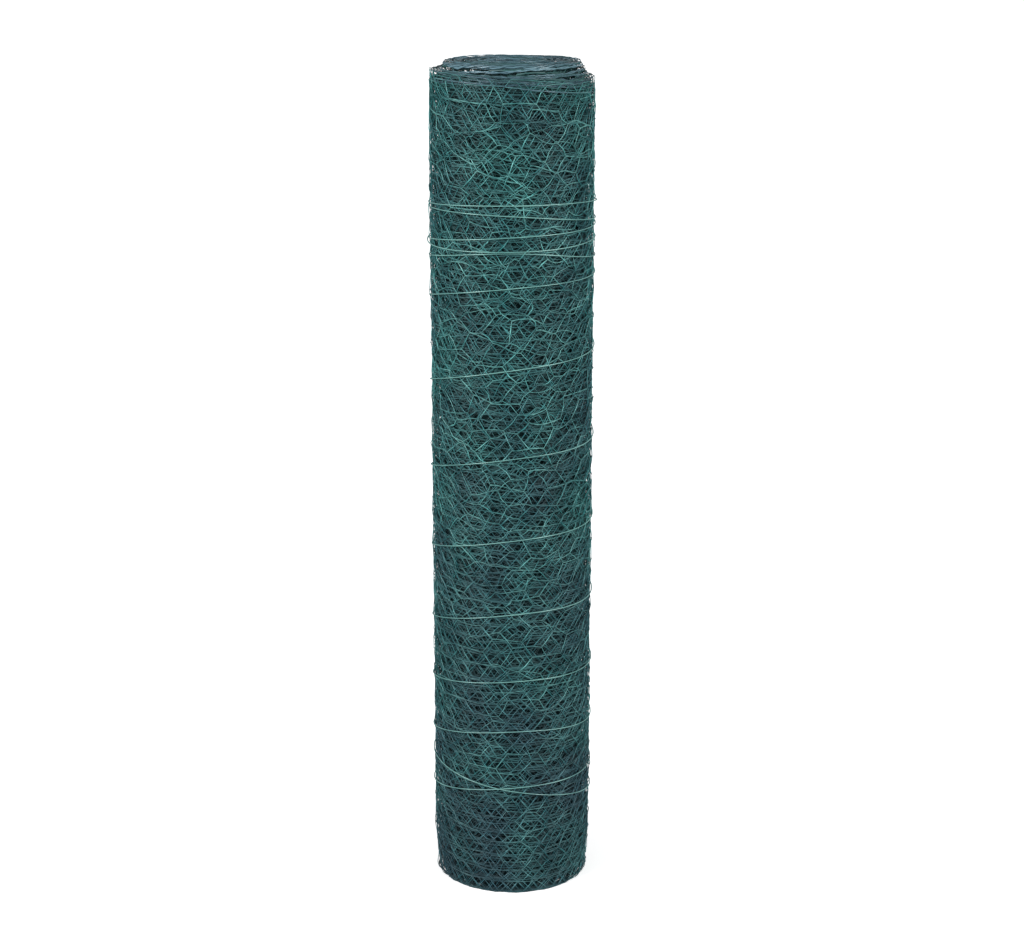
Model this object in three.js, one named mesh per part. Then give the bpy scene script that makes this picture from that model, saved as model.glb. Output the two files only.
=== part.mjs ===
// A roll of hexagonal wire netting for a garden fence, standing on its end.
//
// The netting is one long web of green plastic-coated wire, twisted into six-sided meshes
// and wound up tight round a hollow middle. It is made here as one turned solid with its
// bore, and rings on both ends stand for the edges of its many turns. A separate binding
// wire is wound round the roll from bottom to top and keeps it from springing open.
//
// Millimetres, +Z up. The origin is at the middle of the end that the roll stands on, and
// the side that is seen from the front faces -Y.

import * as THREE from "three";

// Driving dimensions of the netting.
const MESH_SIZE = 25; // from one row of twists to the next, across the web
const MESHES_ACROSS = 30;
const ROLL_RADIUS = 72;
const BORE_RADIUS = 22; // left by the spindle that the web was wound on
const FOOT_DRAW_IN = 2.5; // how much narrower the roll is at its foot
const FOOT_HEIGHT = 40; // below which it draws in

// The turns that show on both ends.
const RING_COUNT = 9; // each ring stands for nine or ten turns of the web
const LOW_RING_COUNT = 2; // the loose outer turns, whose top edges have slipped down
const LOW_RING_DROP = 5;
const GROOVE_WIDTH = 1.6;
const GROOVE_DEPTH = 1.5;

// The binding wire.
const BINDING_WIRE_RADIUS = 0.5;
const SEAT_GAP = 0.3; // between the wire and what it lies on

// How finely round shapes are divided.
const ROLL_SEGMENTS = 40;
const FOOT_STEPS = 4;
const WIRE_STEPS_PER_TURN = 28;
const WIRE_SIDES = 6;

const webWidth = MESH_SIZE * MESHES_ACROSS;

// How high the binding wire passes at the left, front and right of the roll, in percent of
// the web's width, turn after turn. It starts and ends at the back.
const BINDING_START_PERCENT = 15.4;
const BINDING_TURN_PERCENTS = [
  [15.7, 13.6, 10.8],
  [11.7, 14.1, 14.4],
  [18.8, 21.3, 20.4],
  [25.5, 27.7, 27.7],
  [33.1, 36.1, 36.5],
  [42.1, 45.2, 46.1],
  [52.0, 55.1, 56.1],
  [62.5, 65.6, 66.9],
  [72.7, 75.1, 75.6],
  [77.5, 79.1, 77.5],
  [79.5, 80.9, 81.3],
  [83.3, 83.3, 81.9],
  [83.7, 84.5, 83.9],
  [79.3, 79.3, 79.7],
];
const BINDING_END_PERCENT = 80.0;
// The stretches that lie on top of an earlier turn, counted in turns from the start.
const BINDING_LAPS = [
  { from: 1.4, to: 1.6 },
  { from: 12.75, to: 13.55 },
];
const LAP_RAMP = 0.15; // in which part of a turn the wire climbs on to a lap or down from it

const material = (colour, roughness) =>
  new THREE.MeshStandardMaterial({ color: colour, roughness, metalness: 0.1 });

// The rings of one end, from the bore outwards: flat edges with grooves between them. A
// groove is cut into the roll, so it goes up at the foot and down at the top.
function endProfile(outermostRadius, heightOfRing, intoRoll) {
  const pitch = (ROLL_RADIUS - BORE_RADIUS) / RING_COUNT;
  const points = [];
  for (let ring = 0; ring < RING_COUNT; ring += 1) {
    const inner = BORE_RADIUS + ring * pitch;
    const outer = inner + pitch;
    const height = heightOfRing(ring);
    const isFirst = ring === 0;
    const isLast = ring === RING_COUNT - 1;
    points.push(new THREE.Vector2(isFirst ? inner : inner + GROOVE_WIDTH / 2, height));
    points.push(new THREE.Vector2(isLast ? outermostRadius : outer - GROOVE_WIDTH / 2, height));
    if (!isLast) {
      const next = heightOfRing(ring + 1);
      const lowest = intoRoll > 0 ? Math.max(height, next) : Math.min(height, next);
      points.push(new THREE.Vector2(outer, lowest + intoRoll * GROOVE_DEPTH));
    }
  }
  return points;
}

// The side of the roll, from where it leaves the floor up to where it is at its full width.
function footProfile() {
  const curve = new THREE.QuadraticBezierCurve(
    new THREE.Vector2(ROLL_RADIUS - FOOT_DRAW_IN, 0),
    new THREE.Vector2(ROLL_RADIUS, FOOT_HEIGHT / 2),
    new THREE.Vector2(ROLL_RADIUS, FOOT_HEIGHT),
  );
  return curve.getPoints(FOOT_STEPS).slice(1);
}

function makeNettingRoll() {
  const topOfRing = (ring) => webWidth - (ring >= RING_COUNT - LOW_RING_COUNT ? LOW_RING_DROP : 0);
  const foot = endProfile(ROLL_RADIUS - FOOT_DRAW_IN, () => 0, 1);
  const top = endProfile(ROLL_RADIUS, topOfRing, -1).reverse();
  const profile = [...foot, ...footProfile(), ...top, foot[0].clone()];
  const geometry = new THREE.LatheGeometry(profile, ROLL_SEGMENTS);
  geometry.rotateX(Math.PI / 2);
  const roll = new THREE.Mesh(geometry, material(0x1f4f4b, 0.5));
  roll.name = "netting_roll";
  return roll;
}

// The binding wire's heights, a quarter turn apart. At the back of the roll it passes half
// way between the right of one turn and the left of the next.
function bindingHeights() {
  const percents = [BINDING_START_PERCENT];
  BINDING_TURN_PERCENTS.forEach(([left, front, right], turn) => {
    const isLast = turn === BINDING_TURN_PERCENTS.length - 1;
    const back = isLast ? BINDING_END_PERCENT : (right + BINDING_TURN_PERCENTS[turn + 1][0]) / 2;
    percents.push(left, front, right, back);
  });
  return percents.map((percent) => (percent / 100) * webWidth);
}

// The centre line of the binding wire, round and round the roll.
class BindingPath extends THREE.Curve {
  constructor() {
    super();
    const points = bindingHeights().map((height, i) => new THREE.Vector2(i, height));
    this.heights = new THREE.SplineCurve(points);
    this.turns = BINDING_TURN_PERCENTS.length;
    // A straight step between two points of the wire cuts inside its circle, so the circle
    // is wide enough for the middle of each step to clear the roll.
    const seat = ROLL_RADIUS + SEAT_GAP + BINDING_WIRE_RADIUS;
    this.seatRadius = seat / Math.cos(Math.PI / WIRE_STEPS_PER_TURN);
    this.lapRise = 2 * BINDING_WIRE_RADIUS + SEAT_GAP;
  }

  // 1 where the wire lies on a lap, 0 where it lies on the roll, and between on the ramps.
  lapShare(turn) {
    const { smoothstep } = THREE.MathUtils;
    const shares = BINDING_LAPS.map(
      ({ from, to }) => smoothstep(turn, from - LAP_RAMP, from) - smoothstep(turn, to, to + LAP_RAMP),
    );
    return Math.max(...shares);
  }

  getPoint(t, target = new THREE.Vector3()) {
    const turn = t * this.turns;
    const angle = Math.PI / 2 + turn * 2 * Math.PI; // from the back round by the left
    const radius = this.seatRadius + this.lapRise * this.lapShare(turn);
    return target.set(radius * Math.cos(angle), radius * Math.sin(angle), this.heights.getPoint(t).y);
  }
}

function makeBindingWire() {
  const path = new BindingPath();
  path.arcLengthDivisions = path.turns * 4 * WIRE_STEPS_PER_TURN;
  const section = new THREE.Shape(
    Array.from({ length: WIRE_SIDES }, (_, i) => {
      const angle = (i / WIRE_SIDES) * 2 * Math.PI;
      return new THREE.Vector2(Math.cos(angle), Math.sin(angle)).multiplyScalar(BINDING_WIRE_RADIUS);
    }),
  );
  const geometry = new THREE.ExtrudeGeometry(section, {
    steps: Math.round(path.turns * WIRE_STEPS_PER_TURN),
    extrudePath: path,
    bevelEnabled: false,
  });
  const wire = new THREE.Mesh(geometry, material(0x3f706c, 0.4));
  wire.name = "binding_wire";
  return wire;
}

const group = new THREE.Group();
group.add(makeNettingRoll(), makeBindingWire());

export default group;
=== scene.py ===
# %% [markdown]
# # A roll of hexagonal wire netting
#
# The real thing is one long web of thin steel wire, coated with dark green plastic and
# twisted into six-sided meshes, which is wound up tight round a spindle. The spindle is
# gone, so the middle is hollow. A thin, lighter wire runs round and round the roll and
# keeps it from springing open.
#
# The frame gives the roll's size and the space that it fills. This script winds real
# netting in that space, so that the light falls between the wires as it does on the real
# roll.

# %% Load the frame
import math

import bpy
import numpy as np
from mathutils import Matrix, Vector


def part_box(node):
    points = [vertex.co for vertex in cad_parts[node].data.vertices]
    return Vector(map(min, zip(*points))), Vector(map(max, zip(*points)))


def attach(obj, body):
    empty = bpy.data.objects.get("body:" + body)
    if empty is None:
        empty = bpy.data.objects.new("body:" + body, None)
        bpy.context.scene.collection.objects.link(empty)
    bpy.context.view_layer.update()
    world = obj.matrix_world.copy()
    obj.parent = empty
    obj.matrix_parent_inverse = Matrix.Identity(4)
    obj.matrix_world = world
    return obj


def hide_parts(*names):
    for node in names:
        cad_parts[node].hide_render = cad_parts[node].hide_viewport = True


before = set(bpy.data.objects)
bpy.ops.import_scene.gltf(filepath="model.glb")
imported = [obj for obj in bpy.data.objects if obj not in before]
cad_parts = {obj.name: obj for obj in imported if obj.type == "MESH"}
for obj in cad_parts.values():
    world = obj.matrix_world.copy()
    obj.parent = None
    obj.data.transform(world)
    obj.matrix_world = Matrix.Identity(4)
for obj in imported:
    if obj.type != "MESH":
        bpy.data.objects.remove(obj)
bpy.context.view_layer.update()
roll_low, roll_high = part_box("netting_roll")

MM = 0.001
ROLL_RADIUS = (roll_high.x - roll_low.x) / 2
WEB_WIDTH = roll_high.z - roll_low.z
print("roll radius", round(ROLL_RADIUS, 4), "web width", round(WEB_WIDTH, 4))

# %% [markdown]
# ## The camera
#
# The camera stands two and a half times the roll's height away and a little higher than
# its top. So the upper end is seen almost edge-on and the lower end from well above, as in
# the photograph. It looks down to the middle of the roll, and the lens is worked out from
# the share of the picture that the roll is to fill.

# %% Camera
IMAGE_WIDTH, IMAGE_HEIGHT = 1024, 946
ROLL_SHARE_OF_HEIGHT = 0.89
camera_distance = 2.5 * WEB_WIDTH
camera_height = 1.2 * WEB_WIDTH

down_to_top = math.atan2(camera_height - WEB_WIDTH, camera_distance + ROLL_RADIUS)
down_to_foot = math.atan2(camera_height, camera_distance - ROLL_RADIUS)
pitch = (down_to_top + down_to_foot) / 2
half_height = math.tan((down_to_foot - down_to_top) / 2) / ROLL_SHARE_OF_HEIGHT

bpy.ops.object.camera_add(
    location=(0, -camera_distance, camera_height),
    rotation=(math.pi / 2 - pitch, 0, 0),
)
camera = bpy.context.object
camera.data.sensor_width = 36
camera.data.lens = camera.data.sensor_width * IMAGE_HEIGHT / IMAGE_WIDTH / 2 / half_height
bpy.context.scene.camera = camera
print("camera pitch", round(math.degrees(pitch), 1), "lens", round(camera.data.lens, 1))

# %% [markdown]
# ## The room
#
# The roll stands on a plain pale floor that is wide enough to reach past the picture. The
# floor glows a little, so that it shows white, and it throws no light back on the wires.
#
# Two very soft lights and two square lamps stand to the left and the right, as in a
# photographer's white tent, so the slanting wires catch more light than the level ones. A
# dim sky fills the shadows. It is darker below the horizon than above.

# %% Floor and light
FLOOR_SIZE = 60
FLOOR_GLOW = 0.5
SKY_BELOW, SKY_ABOVE = 0.06, 0.42  # how bright the sky is on either side of the horizon
SKY_BLEND = 0.1  # how far up and down its brightness changes
bpy.ops.mesh.primitive_plane_add(size=FLOOR_SIZE, location=(0, 0, 0))
floor = bpy.context.object
floor.name = "floor"

floor_finish = bpy.data.materials.new("pale_floor")
floor_finish.use_nodes = True
floor_shader = floor_finish.node_tree.nodes["Principled BSDF"]
floor_shader.inputs["Base Color"].default_value = (0.9, 0.9, 0.9, 1)
floor_shader.inputs["Roughness"].default_value = 0.8
floor_shader.inputs["Emission Color"].default_value = (1, 1, 1, 1)
floor_shader.inputs["Emission Strength"].default_value = FLOOR_GLOW
floor.data.materials.append(floor_finish)
floor.visible_diffuse = False
floor.visible_glossy = False

world = bpy.data.worlds.new("white_tent")
bpy.context.scene.world = world
world.use_nodes = True
sky_nodes, sky_links = world.node_tree.nodes, world.node_tree.links
sky = sky_nodes["Background"]
sky.inputs["Color"].default_value = (0.97, 0.99, 1, 1)
direction = sky_nodes.new("ShaderNodeTexCoord")
split = sky_nodes.new("ShaderNodeSeparateXYZ")
rise = sky_nodes.new("ShaderNodeMapRange")
rise.inputs["From Min"].default_value = -SKY_BLEND
rise.inputs["From Max"].default_value = SKY_BLEND
rise.inputs["To Min"].default_value = SKY_BELOW
rise.inputs["To Max"].default_value = SKY_ABOVE
sky_links.new(direction.outputs["Generated"], split.inputs["Vector"])
sky_links.new(split.outputs["Z"], rise.inputs["Value"])
sky_links.new(rise.outputs["Result"], sky.inputs["Strength"])

SOFTNESS = math.radians(36)  # how wide a soft light looks from the roll


def soft_light(name, azimuth, elevation, strength):
    """A distant light as wide as a tent wall. Azimuth 0 is the camera's side, + is right."""
    bpy.ops.object.light_add(type="SUN")
    lamp = bpy.context.object
    lamp.name = name
    lamp.data.angle = SOFTNESS
    lamp.data.energy = strength
    lamp.rotation_euler = (math.radians(90 - elevation), 0, math.radians(azimuth))


def soft_lamp(name, place, size, power):
    """A square lamp that faces the upper part of the roll."""
    bpy.ops.object.light_add(type="AREA", location=place)
    lamp = bpy.context.object
    lamp.name = name
    lamp.data.size = size
    lamp.data.energy = power
    towards = Vector((0, 0, 0.8 * WEB_WIDTH)) - lamp.location
    lamp.rotation_euler = towards.to_track_quat("-Z", "Y").to_euler()


soft_light("left_light", azimuth=-60, elevation=16, strength=2.3)
soft_light("right_light", azimuth=56, elevation=16, strength=2.0)
soft_lamp("left_lamp", place=(-0.75, -0.6, 0.8), size=0.4, power=3.0)
soft_lamp("right_lamp", place=(0.7, -0.65, 0.75), size=0.4, power=2.2)
bpy.context.scene.view_settings.view_transform = "Standard"

# %% [markdown]
# ## One mesh of the netting
#
# The netting is made of parallel wires. Each wire is twisted with the neighbour above it,
# slants over to the neighbour below, is twisted with that one, and slants back. So a small
# piece of the web holds everything that repeats: two wires, and one whole step of their
# zigzag.
#
# A wire is drawn as one vertex that is extruded from point to point. It is then turned
# into a curve, which gets its thickness from a small profile, and back into a mesh. The
# wires of the outermost turns have four sides and two turns in each twist. Those further in
# have three sides, and one turn that is drawn in two straight steps.
#
# Every vertex also gets a number called twist, which some finishes use to paint shade on
# the twists and to make them rougher. It is 1 where two wires are twisted together and 0
# half way along a slant. In the deep turns a slant is one straight step, so there it stays
# 1 all along.

# %% Sizes of the netting
MESH_SIZE = 25 * MM  # from one row of twists to the next
COLUMN_STEP = 36 * MM  # from one column of twists to the next
TWIST_LENGTH = 26 * MM
WIRE_RADIUS = 0.31 * MM
TWIST_RADIUS = 0.2 * MM  # of each strand's path round the middle of a twist
TWIST_REACH = 1.5 * (TWIST_RADIUS + WIRE_RADIUS)  # what lies nearer to a row's line is twisted
ROWS = round(WEB_WIDTH / MESH_SIZE)
PERIOD = 2 * COLUMN_STEP
print(ROWS, "rows of meshes")


def pick_only(obj):
    """Selects one object and nothing else."""
    bpy.ops.object.select_all(action="DESELECT")
    obj.select_set(True)
    bpy.context.view_layer.objects.active = obj


def draw_wire(name, points, radius, sides):
    """A closed wire through the points: a vertex is extruded along them and thickened."""
    bpy.ops.mesh.primitive_circle_add(vertices=sides, radius=radius)
    profile = bpy.context.object
    bpy.ops.object.convert(target="CURVE")

    bpy.ops.mesh.primitive_circle_add(vertices=3, radius=radius)
    wire = bpy.context.object
    wire.name = name
    bpy.ops.object.mode_set(mode="EDIT")
    bpy.ops.mesh.merge(type="CENTER")
    bpy.ops.transform.translate(value=points[0])
    for here, there in zip(points, points[1:]):
        move = [b - a for a, b in zip(here, there)]
        bpy.ops.mesh.extrude_region_move(TRANSFORM_OT_translate={"value": move})
    bpy.ops.object.mode_set(mode="OBJECT")
    bpy.ops.object.convert(target="CURVE")
    wire.data.bevel_mode = "OBJECT"
    wire.data.bevel_object = profile
    wire.data.use_fill_caps = True
    bpy.ops.object.convert(target="MESH")
    bpy.data.objects.remove(profile)
    bpy.ops.object.shade_smooth()
    return wire


def helix(x_from, x_to, height, phase, turns, steps, radius=TWIST_RADIUS):
    """Points of one strand of a twist, which runs along X."""
    points = []
    for i in range(steps + 1):
        share = i / steps
        angle = phase + 2 * math.pi * turns * share
        points.append(
            (
                x_from + (x_to - x_from) * share,
                radius * math.cos(angle),
                height + radius * math.sin(angle),
            )
        )
    return points


def mesh_cell(name, sides, turns, steps, slant_steps):
    """Two wires of the web, one step of their zigzag long. Their shared twist is at z = 0."""
    wires = []
    for side in (1, -1):
        up = side * math.pi / 2
        far = side * MESH_SIZE / 2
        half = TWIST_LENGTH / 2
        end_turns, end_steps = turns / 2, steps // 2
        left_phase = -up + math.pi * turns
        left = helix(-COLUMN_STEP, half - COLUMN_STEP, far, left_phase, end_turns, end_steps)
        middle = helix(-half, half, 0, up, turns, steps)
        right = helix(COLUMN_STEP - half, COLUMN_STEP, far, -up, end_turns, end_steps)
        points = list(left)
        for stretch in (middle, right):
            start, end = np.array(points[-1]), np.array(stretch[0])
            for i in range(1, slant_steps):
                points.append(tuple(start + (end - start) * i / slant_steps))
            points.extend(stretch)
        wires.append(draw_wire(name, points, WIRE_RADIUS, sides))
    pick_only(wires[0])
    wires[1].select_set(True)
    bpy.ops.object.join()
    cell = bpy.context.object
    twisted = cell.data.attributes.new("twist", "FLOAT", "POINT")
    for corner, mark in zip(cell.data.vertices, twisted.data):
        from_row = min(abs(corner.co.z), abs(abs(corner.co.z) - MESH_SIZE / 2))
        mark.value = 1 if from_row < TWIST_REACH else 0
    return cell


fine_cell = mesh_cell("fine_cell", sides=4, turns=2, steps=10, slant_steps=2)
plain_cell = mesh_cell("plain_cell", sides=3, turns=1, steps=2, slant_steps=2)
deep_cell = mesh_cell("deep_cell", sides=3, turns=1, steps=2, slant_steps=1)
for cell in (fine_cell, plain_cell, deep_cell):
    cell.data.calc_loop_triangles()
    print(cell.name, len(cell.data.loop_triangles), "triangles")

# %% [markdown]
# ## From a flat web to a wound one
#
# Two Array modifiers repeat the cell along the web and across it. Nothing in a real roll
# stays that regular, because the web is pulled and squeezed as it is wound. So the flat
# web is first pushed about by slow waves with random directions, and then every vertex is
# carried on to the spiral of the roll.
#
# The spiral starts at the cut end of the web, on the left of the roll, and each turn lies
# one layer further in. A table of the spiral gives, for each distance along the web, how
# many turns it has made and how deep it lies. The edge wires have an even spiral of their
# own, so the roll's ends are covered evenly.

# %% Winding
BORE_RADIUS = 22 * MM
TIGHT_TURNS = 36  # the outer turns, which the binding wire draws tight
TIGHT_DEPTH = 6.5 * MM  # how deep they reach
TIGHT_POWER = 1.3  # above 1, the outermost of them lie closest together
LOOSE_LAYER = 0.85 * MM  # from one inner turn to the next
EDGE_LAYER = 1.1 * MM  # from one turn of the edge wires to the next
TAIL_ANGLE = math.radians(208)  # where the outer end of the web lies, from +X
TURN_STEP = 0.02  # of the spiral's table
MOST_TURNS = 120


def spiral(depth_of):
    """Tables of a spiral from the roll's surface to its bore: distance, turn and depth."""
    turns = np.arange(0, MOST_TURNS, TURN_STEP)
    depths = depth_of(turns)
    kept = ROLL_RADIUS - WIRE_RADIUS - depths > BORE_RADIUS
    turns, depths = turns[kept], depths[kept]
    radii = ROLL_RADIUS - WIRE_RADIUS - depths
    distances = np.concatenate([[0], np.cumsum(2 * math.pi * radii * TURN_STEP)[:-1]])
    return distances, turns, depths


def web_depth(turns):
    """How deep a turn of the web lies under the roll's surface."""
    tight = np.minimum(turns / TIGHT_TURNS, 1)
    loose = np.maximum(turns - TIGHT_TURNS, 0)
    return TIGHT_DEPTH * tight**TIGHT_POWER + LOOSE_LAYER * loose


web_spiral = spiral(web_depth)
edge_spiral = spiral(lambda turns: EDGE_LAYER * turns)
web_length = web_spiral[0][-1]
print("turns", round(web_spiral[1][-1], 1), "length of the web", round(web_length, 2), "m")

# How far the web is pushed about: along itself, across itself, and off the roll.
ALONG_WIDE, ALONG_FINE, ALONG_OUTER = 3 * MM, 1.3 * MM, 1.2 * MM
ACROSS_WIDE, ACROSS_FINE, ACROSS_OUTER = 4.5 * MM, 1.7 * MM, 1 * MM
LIFT_WIDE, LIFT_FINE, LIFT_OUTER, LIFT_SMALL = 0.25 * MM, 0.25 * MM, 0.4 * MM, 0.4 * MM
OUTER_UNTIL = 0.8, 2.5  # the turns over which what is added to the outermost turn fades
SMALL_UNTIL = 3, 9  # the turns over which the smallest bulges fade
LOOSE_FOOT, LOOSE_MORE = 0.7, 0.9  # the fine waves' strength low down, and how much it grows
LOOSE_FROM, LOOSE_TO = 0.1 * WEB_WIDTH, 0.75 * WEB_WIDTH
EDGE_CALM = 30 * MM  # near the web's edges its rows stay straight

# Where the turns end at the top and at the foot.
STEP_RADIUS = 61 * MM  # outside it the turns end lower at the top
STEP_BLEND = 2.5 * MM
STEP_DROP = 5 * MM
SLOPE_DROP = 8 * MM  # how much lower still the outermost turns end on the right
SLIP_WAVE = 1.3 * MM  # how unevenly each turn ends
SLIP_TURN = 1.5 * MM  # how much the turns differ
SLIP_OUTER = 5 * MM  # how much more the loose outer turns differ
FOOT_WAVE = 0.8 * MM  # the same at the foot
FOOT_TURN = 0.6 * MM
FOOT_STEADY = 0.7  # by what share the outer turns are more even there
FOOT_FLUSH = 3, 6  # the turns over which those that stand on the floor give way to others
SLIP_BEAT, SLIP_SWELL, OUTER_BEAT, FOOT_BEAT = 2.1, 0.7, 2.9, 2.3  # radians for each turn
FOOT_TAPER = 2.5 * MM  # how far the roll draws in at its foot
TAPER_HEIGHT = 40 * MM
TAIL_FLARE = 3 * MM  # how far the web's outer end sticks out at its upper corner
TAIL_LENGTH, TAIL_HEIGHT = 45 * MM, 90 * MM  # the size of that corner
rng = np.random.default_rng(11)


def slow_waves(shortest, count=14):
    """A smooth random field over the web, mostly between -1 and 1.

    Its waves are from shortest to two and a half times as long.
    """
    lengths = shortest * (1 + 1.5 * rng.random(count))
    directions = rng.random(count) * 2 * math.pi
    phases = rng.random(count) * 2 * math.pi
    kx = 2 * math.pi * np.cos(directions) / lengths
    kz = 2 * math.pi * np.sin(directions) / lengths

    def field(x, z):
        waves = np.sin(np.outer(x, kx) + np.outer(z, kz) + phases)
        return waves.sum(axis=1) / math.sqrt(count)

    return field


along_wide, along_fine = slow_waves(110 * MM), slow_waves(30 * MM)
across_wide, across_fine = slow_waves(140 * MM), slow_waves(30 * MM)
lift_wide, lift_fine = slow_waves(90 * MM), slow_waves(22 * MM)
top_waves, foot_waves = slow_waves(120 * MM, 10), slow_waves(120 * MM, 10)
lift_small = slow_waves(9 * MM)


def smooth(value, low, high):
    """Rises smoothly from 0 at low to 1 at high."""
    share = np.clip((value - low) / (high - low), 0, 1)
    return share * share * (3 - 2 * share)


def wind(obj, start, path=web_spiral):
    """Carries a flat web on to the roll. start is its distance from the web's outer end."""
    count = len(obj.data.vertices)
    place = np.empty(count * 3)
    obj.data.vertices.foreach_get("co", place)
    place = place.reshape(-1, 3)
    x, depth, z = place[:, 0] + start, place[:, 1], place[:, 2]

    distances, turns, depths = path
    turn, sunk = np.interp(x, distances, turns), np.interp(x, distances, depths)
    inside = smooth(np.minimum(z, WEB_WIDTH - z), 0, EDGE_CALM)
    outer = 1 - smooth(turn, *OUTER_UNTIL)
    loose = LOOSE_FOOT + LOOSE_MORE * smooth(z, LOOSE_FROM, LOOSE_TO)
    push = (ALONG_FINE + ALONG_OUTER * outer) * loose * along_fine(x, z)
    push += ALONG_WIDE * along_wide(x, z)
    shift = (ACROSS_FINE + ACROSS_OUTER * outer) * loose * across_fine(x, z)
    shift += ACROSS_WIDE * across_wide(x, z)
    lift = (LIFT_FINE + LIFT_OUTER * outer) * lift_fine(x, z) + LIFT_WIDE * lift_wide(x, z)
    lift += LIFT_SMALL * (1 - smooth(turn, *SMALL_UNTIL)) * lift_small(x, z)
    corner = (1 - smooth(x, 0, TAIL_LENGTH)) * smooth(z, WEB_WIDTH - TAIL_HEIGHT, WEB_WIDTH)
    flare = TAIL_FLARE * corner
    radius = ROLL_RADIUS - WIRE_RADIUS - sunk + depth + lift + flare
    angle = TAIL_ANGLE + 2 * math.pi * turn + push / ROLL_RADIUS

    # The loose outer turns have slipped down at the top, and no turn ends quite level.
    low = smooth(radius, STEP_RADIUS - STEP_BLEND, STEP_RADIUS + STEP_BLEND)
    slope = smooth(radius, STEP_RADIUS, ROLL_RADIUS) * (1 + np.cos(angle)) / 2
    slipped = SLIP_WAVE * (1 + top_waves(x, 0 * x))
    slipped += SLIP_TURN * (1 + np.sin(SLIP_BEAT * turn) * np.sin(SLIP_SWELL * turn))
    slipped += SLIP_OUTER * low * (1 + np.sin(OUTER_BEAT * turn))
    top = WEB_WIDTH - STEP_DROP * low - SLOPE_DROP * slope - slipped
    foot = FOOT_WAVE * (1 + foot_waves(x, 0 * x)) * (1 - FOOT_STEADY * low)
    foot += FOOT_TURN * low * (1 - np.cos(FOOT_BEAT * turn)) * smooth(turn, *FOOT_FLUSH)
    top = np.minimum(top, WEB_WIDTH - 2 * WIRE_RADIUS)
    foot = np.maximum(foot, 2 * WIRE_RADIUS)
    height = foot + (top - foot) * z / WEB_WIDTH + shift * inside
    drawn_in = FOOT_TAPER * (1 - smooth(height, 0, TAPER_HEIGHT)) * radius / ROLL_RADIUS
    radius = radius - drawn_in
    place = np.stack([radius * np.cos(angle), radius * np.sin(angle), height], axis=1)
    obj.data.vertices.foreach_set("co", place.ravel())
    obj.data.update()


def lay_web(name, cell, start, periods, rows):
    """A flat web of periods by rows cells, wound on to the roll."""
    pick_only(cell)
    bpy.ops.object.duplicate()
    web = bpy.context.object
    web.name = name
    for axis, count, step in ((0, periods, PERIOD), (2, len(rows), MESH_SIZE)):
        array = web.modifiers.new("repeat", "ARRAY")
        array.use_relative_offset = False
        array.use_constant_offset = True
        array.constant_offset_displace = [step if i == axis else 0 for i in range(3)]
        array.count = count
        bpy.ops.object.modifier_apply(modifier=array.name)
    bpy.ops.object.mode_set(mode="EDIT")
    bpy.ops.mesh.select_all(action="SELECT")
    bpy.ops.transform.translate(value=(COLUMN_STEP, 0, (rows[0] + 0.5) * MESH_SIZE))
    bpy.ops.object.mode_set(mode="OBJECT")
    wind(web, start)
    return web


FINE_PERIODS = 9  # about one turn and a half
PLAIN_PERIODS = 45
DEEP_PERIODS = 60
stretches = [
    ("outer_turns", fine_cell, FINE_PERIODS),
    ("second_turns", plain_cell, PLAIN_PERIODS),
    ("third_turns", plain_cell, PLAIN_PERIODS),
    ("deep_turns", deep_cell, DEEP_PERIODS),
    ("deepest_turns", deep_cell, DEEP_PERIODS),
]
netting = []
laid = 0
for name, cell, periods in stretches:
    netting.append(lay_web(name, cell, laid * PERIOD, periods, range(ROWS)))
    laid += periods
whole_turns, whole_depth = (
    float(np.interp(laid * PERIOD, web_spiral[0], table)) for table in web_spiral[1:]
)
print("turns laid at full width", round(whole_turns, 1))

# %% [markdown]
# ## The hidden turns
#
# Deep inside the roll the web can't be seen, except for its edges at both ends and the
# last turns round the hollow middle. So the long middle stretch of the web has only its
# outermost row of meshes at each end, and the last stretch is whole again.

# %% Inner stretches of the web
BORE_PERIODS = 5
total_periods = int(web_length / PERIOD)
edge_periods = total_periods - BORE_PERIODS - laid
edge_start = laid * PERIOD
for name, row in (("top_edge_turns", ROWS - 1), ("foot_edge_turns", 0)):
    netting.append(lay_web(name, deep_cell, edge_start, edge_periods, range(row, row + 1)))
bore_start = (total_periods - BORE_PERIODS) * PERIOD
netting.append(lay_web("bore_turns", plain_cell, bore_start, BORE_PERIODS, range(ROWS)))

# %% [markdown]
# ## The edge wires
#
# Along each edge of the web run two straight wires that the meshes are twisted to. On the
# roll's ends they show as a fine spiral. One turn of their twist is drawn and repeated, and
# wound with the same function as the web, so it stays on the ends of the meshes.

# %% Edge wires
EDGE_WIRE_RADIUS = 0.34 * MM
EDGE_TWIST = 26 * MM


def edge_wire(name, height, phase):
    """One strand along the whole edge of the web, twisted loosely with its partner."""
    points = helix(0, EDGE_TWIST, height, phase, turns=1, steps=5, radius=EDGE_WIRE_RADIUS)
    wire = draw_wire(name, points, EDGE_WIRE_RADIUS, sides=3)
    array = wire.modifiers.new("repeat", "ARRAY")
    array.use_relative_offset = False
    array.use_constant_offset = True
    array.constant_offset_displace = (EDGE_TWIST, 0, 0)
    array.count = int(edge_spiral[0][-1] / EDGE_TWIST)
    bpy.ops.object.modifier_apply(modifier=array.name)
    wind(wire, 0, edge_spiral)
    return wire


for height, word in ((0.0, "foot"), (WEB_WIDTH, "top")):
    for strand in range(2):
        netting.append(edge_wire(f"{word}_edge_wire_{strand + 1}", height, strand * math.pi))
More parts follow.
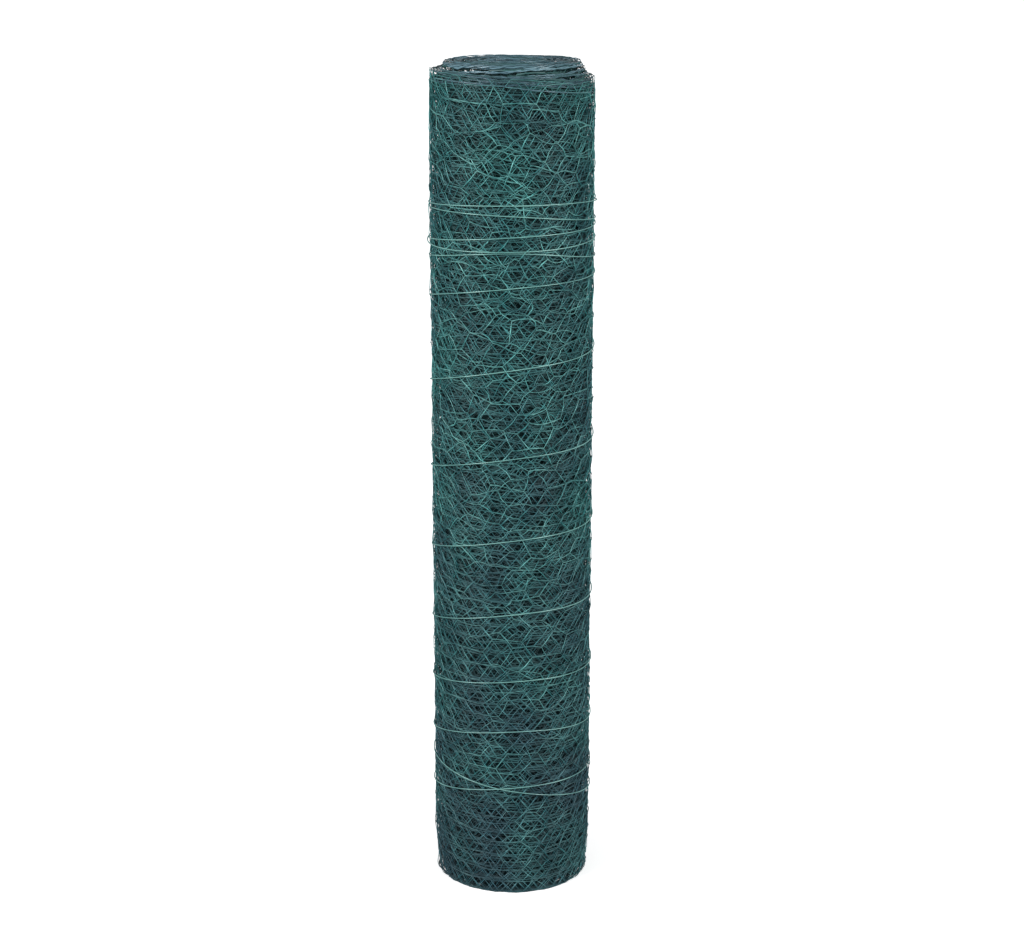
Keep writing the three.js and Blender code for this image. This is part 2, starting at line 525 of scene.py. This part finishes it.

# %% [markdown]
# ## The imported middle
#
# Behind the turns that are wound here the real roll goes on for many more. A plain ring
# stands for them, and only glimpses of it show between the meshes. Its coating is painted
# very dark and dull: painted shade, for the deep turns that light hardly reaches. It ends a
# little short of both ends of the roll, where the edges of the turns are seen.

# %% Packed middle
CORE_GAP = 1 * MM  # under the deepest turns that are laid at full width
core_radius = ROLL_RADIUS - whole_depth - CORE_GAP
bore_wall = BORE_RADIUS + 2 * LOOSE_LAYER
CORE_FOOT, CORE_TOP = 3 * MM, WEB_WIDTH - 21 * MM
bpy.ops.mesh.primitive_cylinder_add(
    vertices=96,
    radius=core_radius,
    depth=CORE_TOP - CORE_FOOT,
    location=(0, 0, (CORE_TOP + CORE_FOOT) / 2),
)
core = bpy.context.object
core.name = "packed_turns"
bpy.ops.object.transform_apply(location=True, rotation=True, scale=True)
bpy.ops.object.mode_set(mode="EDIT")
bpy.ops.mesh.select_mode(type="FACE")
bpy.ops.mesh.select_all(action="DESELECT")
bpy.ops.object.mode_set(mode="OBJECT")
for face in core.data.polygons:
    face.select = abs(face.normal.z) > 0.9  # the two flat ends
bpy.ops.object.mode_set(mode="EDIT")
bpy.ops.mesh.inset(thickness=core_radius - bore_wall)
bpy.ops.mesh.bridge_edge_loops()
bpy.ops.object.mode_set(mode="OBJECT")
pick_only(core)
bpy.ops.object.shade_smooth_by_angle(angle=math.radians(40))
print("packed middle from", round(bore_wall, 4), "to", round(core_radius, 4), "m")

# %% [markdown]
# ## The binding wire
#
# One thin wire holds the roll shut. It passes round the roll fourteen times, close
# together near the top and wide apart lower down, and lies over itself at both ends of its
# run. Its route is the one that the frame's solid follows. The curve gets more points than
# that solid has, so the wire is round and smooth.

# %% Binding wire
BINDING_WIRE_RADIUS = 0.5 * MM
SEAT_GAP = 0.3 * MM
# Its height at its start, then at the left, front and right of each turn, and at its end.
# All of it is in percent of the web's width.
BINDING_START = 15.4
BINDING_TURNS = [
    [15.7, 13.6, 10.8],
    [11.7, 14.1, 14.4],
    [18.8, 21.3, 20.4],
    [25.5, 27.7, 27.7],
    [33.1, 36.1, 36.5],
    [42.1, 45.2, 46.1],
    [52.0, 55.1, 56.1],
    [62.5, 65.6, 66.9],
    [72.7, 75.1, 75.6],
    [77.5, 79.1, 77.5],
    [79.5, 80.9, 81.3],
    [83.3, 83.3, 81.9],
    [83.7, 84.5, 83.9],
    [79.3, 79.3, 79.7],
]
BINDING_END = 80.0
BINDING_LAPS = [(1.4, 1.6), (12.75, 13.55)]  # where it lies on itself, in turns
LAP_RAMP = 0.15  # in which part of a turn it climbs there or comes down
STEPS_PER_QUARTER = 24


def binding_heights():
    """The heights of the route, a quarter turn apart, in metres."""
    percents = [BINDING_START]
    for turn, (left, front, right) in enumerate(BINDING_TURNS):
        last = turn == len(BINDING_TURNS) - 1
        back = BINDING_END if last else (right + BINDING_TURNS[turn + 1][0]) / 2
        percents += [left, front, right, back]
    return np.array(percents) / 100 * WEB_WIDTH


def through(values, at):
    """A smooth line through evenly spaced values, read at any place between them."""
    ends = np.concatenate([[values[0]], values, [values[-1], values[-1]]])
    before = np.minimum(at.astype(int), len(values) - 2)
    t = at - before
    p0, p1, p2, p3 = (ends[before + i] for i in range(4))
    bend = (p2 - p0) * t
    bend += (2 * p0 - 5 * p1 + 4 * p2 - p3) * t**2
    bend += (3 * p1 - p0 - 3 * p2 + p3) * t**3
    return p1 + bend / 2


heights = binding_heights()
quarters = np.linspace(0, len(heights) - 1, (len(heights) - 1) * STEPS_PER_QUARTER + 1)
turns = quarters / 4
laps = [
    smooth(turns, start - LAP_RAMP, start) - smooth(turns, end, end + LAP_RAMP)
    for start, end in BINDING_LAPS
]
lap = np.max(laps, axis=0)
seat = ROLL_RADIUS + SEAT_GAP + BINDING_WIRE_RADIUS
route_radius = seat + lap * (2 * BINDING_WIRE_RADIUS + SEAT_GAP)
route_angle = math.pi / 2 + turns * 2 * math.pi
route_height = through(heights, quarters)

bpy.ops.curve.primitive_bezier_circle_add(radius=ROLL_RADIUS)
binding = bpy.context.object
binding.name = "binding_wire_round"
line = binding.data
line.splines.clear()
spline = line.splines.new("POLY")
spline.points.add(len(quarters) - 1)
for point, r, a, z in zip(spline.points, route_radius, route_angle, route_height):
    point.co = (r * math.cos(a), r * math.sin(a), z, 1)
line.dimensions = "3D"
line.bevel_depth = BINDING_WIRE_RADIUS
line.bevel_resolution = 1
line.use_fill_caps = True
pick_only(binding)
bpy.ops.object.convert(target="MESH")
binding = bpy.context.object
bpy.ops.object.shade_smooth()

# %% [markdown]
# ## Finishes
#
# The coating is plastic: a dark blue green with a satin shine, and it is never quite even.
# Its tone drifts between a darker and a lighter one. Light and shade are painted into it:
# it is painted darker and bluer low on the roll, where less light falls, and lighter towards
# the top, and in random patches its tone differs too. Where two wires are twisted together
# it is painted darker, as painted shade, and it is rougher than on the single wires
# between, so the slants stand out.
#
# The deeper a turn lies, the darker its coating is painted: this is painted shade, for the
# light that doesn't reach it. The deep turns have the painted shade of a twist all over, and
# the edge wires at the foot are painted dark too. On the upper end the tone changes from one
# turn to the next.

# %% Finishes
DRIFT_SCALE = 45
PATCH_SCALE = 16
TURN_SCALE = 320  # fine enough to tell one turn on the roll's ends from the next
# Painted light: it rises from the foot to the top of the roll.
PAINTED_LIGHT_AT_FOOT, PAINTED_LIGHT_AT_TOP = -0.85, -0.1  # added to the noise of the patches
PATCH_CONTRAST = 2
RAMP_FROM, RAMP_TO = 0.35, 0.68  # which noise gives the darkest and the lightest tone
WIRE_ROUGHNESS, TWIST_ROUGHNESS = 0.25, 0.55
# Painted shade: the twists are painted darker, as they catch less of the side light.
TWIST_SHADE = 0.5  # how bright a twist is beside a single wire


def tone_ramp(nodes, dark, light):
    """A ramp from one tone of the coating to another."""
    ramp = nodes.new("ShaderNodeValToRGB")
    ramp.color_ramp.elements[0].position = RAMP_FROM
    ramp.color_ramp.elements[0].color = (*dark, 1)
    ramp.color_ramp.elements[1].position = RAMP_TO
    ramp.color_ramp.elements[1].color = (*light, 1)
    return ramp


def coated_wire(
    name,
    tones,
    strength=1,
    roughness=WIRE_ROUGHNESS,
    shine=0.7,
    top_light=0,
    by_turn=False,
    twists=False,
):
    """Plastic coating. tones gives (dark, light) for its parts in painted shade and in light.

    by_turn lets the tone change from turn to turn, and twists paints shade on the twists
    and makes them rougher. top_light is added at the top to the painted light.
    """
    finish = bpy.data.materials.new(name)
    finish.use_nodes = True
    nodes, links = finish.node_tree.nodes, finish.node_tree.links
    shader = nodes["Principled BSDF"]
    place = nodes.new("ShaderNodeTexCoord")

    # The tone drifts along each wire.
    drift = nodes.new("ShaderNodeTexNoise")
    drift.inputs["Scale"].default_value = DRIFT_SCALE
    drift.inputs["Detail"].default_value = 4
    if by_turn:
        # The distance from the roll's middle takes the place of the position.
        flat = nodes.new("ShaderNodeVectorMath")
        flat.operation = "MULTIPLY"
        flat.inputs[1].default_value = (1, 1, 0)
        radius = nodes.new("ShaderNodeVectorMath")
        radius.operation = "LENGTH"
        links.new(place.outputs["Object"], flat.inputs[0])
        links.new(flat.outputs["Vector"], radius.inputs[0])
        drift.noise_dimensions = "1D"
        drift.inputs["Scale"].default_value = TURN_SCALE
        links.new(radius.outputs["Value"], drift.inputs["W"])
    else:
        links.new(place.outputs["Object"], drift.inputs["Vector"])
    ramps = []
    for dark, light in tones:
        ramp = tone_ramp(nodes, [strength * c for c in dark], [strength * c for c in light])
        links.new(drift.outputs["Fac"], ramp.inputs["Fac"])
        ramps.append(ramp)

    # Painted shade and light: the coating is painted darker and bluer low on the roll, where
    # less light falls, and lighter towards the top. In patches higher up its tone differs at
    # random.
    patches = nodes.new("ShaderNodeTexNoise")
    patches.inputs["Scale"].default_value = PATCH_SCALE
    patches.inputs["Detail"].default_value = 1
    links.new(place.outputs["Object"], patches.inputs["Vector"])
    split = nodes.new("ShaderNodeSeparateXYZ")
    links.new(place.outputs["Object"], split.inputs["Vector"])
    rise = nodes.new("ShaderNodeMapRange")
    rise.inputs["From Max"].default_value = WEB_WIDTH
    rise.inputs["To Min"].default_value = PAINTED_LIGHT_AT_FOOT
    rise.inputs["To Max"].default_value = PAINTED_LIGHT_AT_TOP + top_light
    links.new(split.outputs["Z"], rise.inputs["Value"])
    # Painted light and shade by height, together with random patches.
    painted_light_and_patches = nodes.new("ShaderNodeMath")
    painted_light_and_patches.operation = "MULTIPLY_ADD"
    painted_light_and_patches.use_clamp = True
    painted_light_and_patches.inputs[1].default_value = PATCH_CONTRAST
    links.new(patches.outputs["Fac"], painted_light_and_patches.inputs[0])
    links.new(rise.outputs["Result"], painted_light_and_patches.inputs[2])
    mix = nodes.new("ShaderNodeMix")
    mix.data_type = "RGBA"  # its two colours are inputs 6 and 7, and its result is output 2
    links.new(painted_light_and_patches.outputs["Value"], mix.inputs["Factor"])
    links.new(ramps[0].outputs["Color"], mix.inputs[6])
    links.new(ramps[1].outputs["Color"], mix.inputs[7])

    shader.inputs["Specular IOR Level"].default_value = shine
    if not twists:
        links.new(mix.outputs[2], shader.inputs["Base Color"])
        shader.inputs["Roughness"].default_value = roughness
        return finish

    # Painted shade: the twists are painted darker than the single wires between them, as they
    # catch less of the side light. They are also rougher.
    twist = nodes.new("ShaderNodeAttribute")
    twist.attribute_name = "twist"
    twist_shade = nodes.new("ShaderNodeMapRange")
    twist_shade.inputs["To Min"].default_value = 1
    twist_shade.inputs["To Max"].default_value = TWIST_SHADE
    links.new(twist.outputs["Fac"], twist_shade.inputs["Value"])
    tone = nodes.new("ShaderNodeVectorMath")
    tone.operation = "SCALE"
    links.new(mix.outputs[2], tone.inputs[0])
    links.new(twist_shade.outputs["Result"], tone.inputs["Scale"])
    links.new(tone.outputs["Vector"], shader.inputs["Base Color"])
    rough = nodes.new("ShaderNodeMapRange")
    rough.inputs["To Min"].default_value = roughness
    rough.inputs["To Max"].default_value = TWIST_ROUGHNESS
    links.new(twist.outputs["Fac"], rough.inputs["Value"])
    links.new(rough.outputs["Result"], shader.inputs["Roughness"])
    return finish


# Each has a dark and a light tone for the parts in painted shade low on the roll and in
# random darker patches, and then for the parts in painted light towards the top.
NETTING_TONES = [
    ((0.022, 0.088, 0.118), (0.062, 0.17, 0.205)),
    ((0.024, 0.17, 0.175), (0.08, 0.33, 0.32)),
]
# Painted highlight: the outer turns' lit tone is paler and brighter, and they get extra painted
# light at the top, for the satin highlights on their slants.
OUTER_TONES = [
    ((0.022, 0.085, 0.11), (0.065, 0.18, 0.21)),
    ((0.04, 0.24, 0.24), (0.19, 0.54, 0.51)),
]
EDGE_TONES = [
    ((0.025, 0.06, 0.085), (0.13, 0.23, 0.29)),
    ((0.03, 0.08, 0.10), (0.15, 0.28, 0.33)),
]
BINDING_TONES = [
    ((0.10, 0.24, 0.24), (0.2, 0.4, 0.38)),
    ((0.10, 0.27, 0.25), (0.2, 0.44, 0.40)),
]
# Painted shade: these are lit and shaded copies of the same tones. The outer turns are painted
# brighter, and the deeper turns, the bore and the foot's edge wires darker.
DEEP_SHADE = 0.75
outer_finish = coated_wire("outer_coating", OUTER_TONES, strength=1.3, top_light=0.45, twists=True)
second_finish = coated_wire("second_coating", NETTING_TONES, strength=1.35, twists=True)
third_finish = coated_wire("third_coating", NETTING_TONES, twists=True)
bore_finish = coated_wire("bore_coating", NETTING_TONES, strength=DEEP_SHADE, twists=True)
deep_finish = coated_wire(
    "deep_coating", NETTING_TONES, strength=DEEP_SHADE * TWIST_SHADE, roughness=TWIST_ROUGHNESS
)
foot_shade_finish = coated_wire("foot_shaded_coating", NETTING_TONES, strength=0.45)
# Painted shade: the packed middle is painted nearly black.
core_shade_finish = coated_wire("packed_wires_shade", NETTING_TONES, strength=0.12, roughness=0.7, shine=0.1)
end_finish = coated_wire("end_coating", EDGE_TONES, by_turn=True)
binding_finish = coated_wire("binding_coating", BINDING_TONES)
finish_of = {
    "outer_turns": outer_finish,
    "second_turns": second_finish,
    "third_turns": third_finish,
    "bore_turns": bore_finish,
}
for strand in ("1", "2"):
    finish_of["top_edge_wire_" + strand] = end_finish
    finish_of["foot_edge_wire_" + strand] = foot_shade_finish

for piece in netting:
    piece.data.materials.clear()
    piece.data.materials.append(finish_of.get(piece.name, deep_finish))
    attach(piece, "root")
core.data.materials.append(core_shade_finish)
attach(core, "root")
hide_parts("netting_roll")
binding.data.materials.clear()
binding.data.materials.append(binding_finish)
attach(binding, "root")
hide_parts("binding_wire")
for cell in (fine_cell, plain_cell, deep_cell):
    bpy.data.objects.remove(cell)

# %% Count and measure
total = 0
for piece in [*netting, core, binding]:
    piece.data.calc_loop_triangles()
    count = len(piece.data.loop_triangles)
    total += count
    print(piece.name, count)
print("triangles in all", total)
